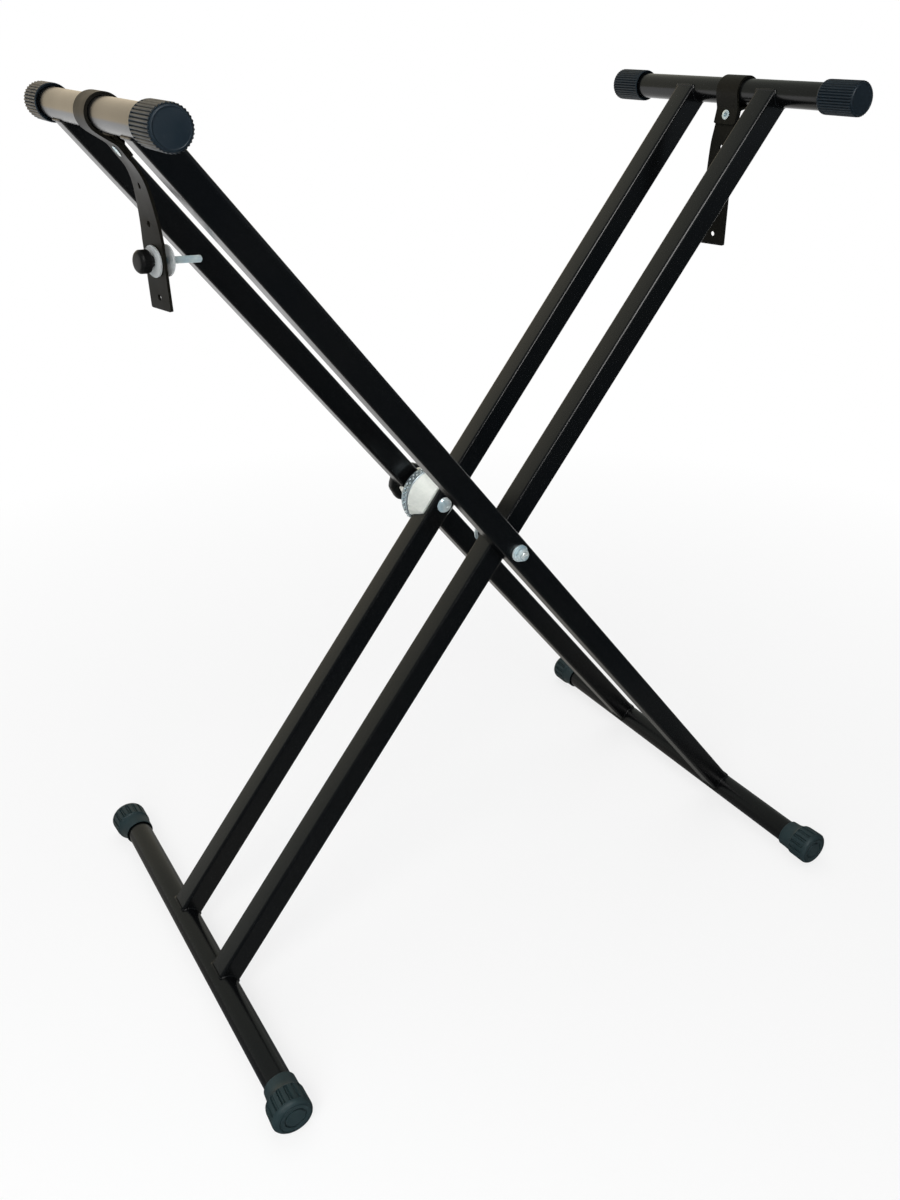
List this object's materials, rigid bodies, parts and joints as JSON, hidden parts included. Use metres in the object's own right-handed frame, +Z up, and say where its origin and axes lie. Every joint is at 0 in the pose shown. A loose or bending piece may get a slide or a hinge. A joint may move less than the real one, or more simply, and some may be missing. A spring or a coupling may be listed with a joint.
{
  "type": "keyboard stand",
  "caption": "Folding double-braced X stand for a keyboard instrument, with a toothed locking clutch, ribbed end caps and hanging rubber straps",
  "frame": {"origin": "on the floor, midway between the two base bars and midway between the front and rear foot ends", "axes": "+Z up; +Y along the bars, from the front legs to the rear legs with the clutch; +X across the stand, from the outer frame's top bar to its base bar"},
  "size_m": [0.7334, 0.5156, 0.8732],
  "materials": {
    "black_paint": "satin black powder coat on welded steel tube",
    "cap_rubber": "ribbed matt black rubber",
    "foot_rubber": "moulded matt dark grey rubber",
    "strap_rubber": "smooth matt rubber sheet",
    "zinc": "bright zinc plate",
    "plate_steel": "pale nickel or zinc plate, lightly dulled",
    "black_plastic": "moulded black plastic",
    "white_nylon": "white nylon"
  },
  "bodies": {
    "inner_frame": {"inner_leg_front": "black_paint", "inner_leg_rear": "black_paint", "inner_top_bar": "black_paint", "inner_base_bar": "black_paint", "inner_cap_front": "cap_rubber", "inner_cap_rear": "cap_rubber", "inner_foot_front": "foot_rubber", "inner_foot_rear": "foot_rubber", "clutch_plate_inner": "plate_steel", "rear_pivot_bolt": "zinc", "clutch_spring": "zinc", "front_pivot_bolt": "zinc", "front_pivot_washer": "zinc", "front_pivot_nut": "zinc", "front_spacer": "white_nylon", "front_bushing": "black_plastic", "front_wide_washer": "zinc"},
    "outer_frame": {"outer_leg_front": "black_paint", "outer_leg_rear": "black_paint", "outer_top_bar": "black_paint", "outer_base_bar": "black_paint", "outer_cap_front": "cap_rubber", "outer_cap_rear": "cap_rubber", "outer_foot_front": "foot_rubber", "outer_foot_rear": "foot_rubber", "clutch_plate_outer": "plate_steel"},
    "knob_slide": {"knob_washer": "zinc"},
    "knob": {"locking_knob": "black_plastic", "knob_insert": "zinc"},
    "strap_left": {"left_strap": "strap_rubber", "left_eyelet": "zinc", "strap_washer_inner": "white_nylon", "strap_washer_outer": "white_nylon"},
    "strap_right": {"right_strap": "strap_rubber", "right_eyelet": "zinc"},
    "strap_screw": {"lock_screw": "zinc", "lock_screw_head": "black_plastic"}
  },
  "joints": [
    {"name": "frame_fold", "type": "hinge", "parent": "inner_frame", "child": "outer_frame", "pos_m": [0, 0, 0.44996], "axis": [0, 1, 0], "range_deg": [-70, 72]},
    {"name": "knob_travel", "type": "slide", "parent": "inner_frame", "child": "knob_slide", "axis": [0, 1, 0], "range_m": [0, 0.00375]},
    {"name": "knob_turn", "type": "hinge", "parent": "knob_slide", "child": "knob", "pos_m": [0, 0.1163, 0.44996], "axis": [0, 1, 0], "range_deg": [0, 1080]},
    {"name": "left_strap_swing", "type": "hinge", "parent": "outer_frame", "child": "strap_left", "pos_m": [-0.32588, -0.006, 0.85774], "axis": [0, 1, 0], "range_deg": [-80, 75]},
    {"name": "right_strap_swing", "type": "hinge", "parent": "inner_frame", "child": "strap_right", "pos_m": [0.32588, -0.012, 0.85774], "axis": [0, 1, 0], "range_deg": [-90, 60]},
    {"name": "strap_screw_turn", "type": "hinge", "parent": "strap_left", "child": "strap_screw", "pos_m": [-0.29744, -0.006, 0.74674], "axis": [0.9731, 0.2164, -0.079], "continuous": true}
  ],
  "couplings": [
    {"joint": "knob_turn", "follows": "knob_travel", "rad_per_m": 5026.5}
  ]
}
